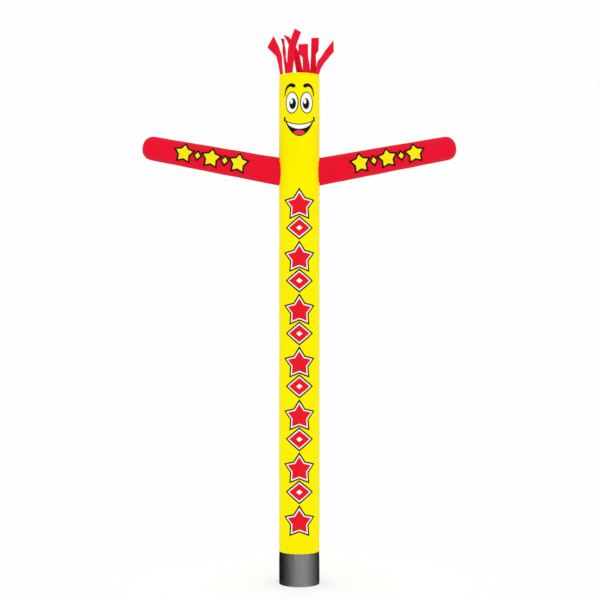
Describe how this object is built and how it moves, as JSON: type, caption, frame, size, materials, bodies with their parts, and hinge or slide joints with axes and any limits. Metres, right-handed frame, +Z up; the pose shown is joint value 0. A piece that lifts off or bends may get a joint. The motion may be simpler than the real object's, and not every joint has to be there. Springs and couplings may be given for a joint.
{
  "type": "inflatable air dancer",
  "caption": "Inflatable air dancer standing full of air: tall cloth tube on a dark base sleeve, raised closed arms, a printed smiling face and ribbon streamers for hair.",
  "frame": {"origin": "middle of the base sleeve's foot, on the ground, on the tube's axis", "axes": "+Z up along the tube, the face looks along -Y, +X towards the arm on the viewer's right"},
  "size_m": [3.6112, 0.457, 6.3524],
  "materials": {
    "yellow_ripstop": "satin woven cloth",
    "red_ripstop": "satin woven cloth",
    "black_base_cloth": "semi-gloss coated cloth"
  },
  "bodies": {
    "root": {"body_tube": "yellow_ripstop", "base_sleeve": "black_base_cloth", "arm_right": "red_ripstop", "arm_left": "red_ripstop", "hair": "red_ripstop"}
  },
  "joints": []
}
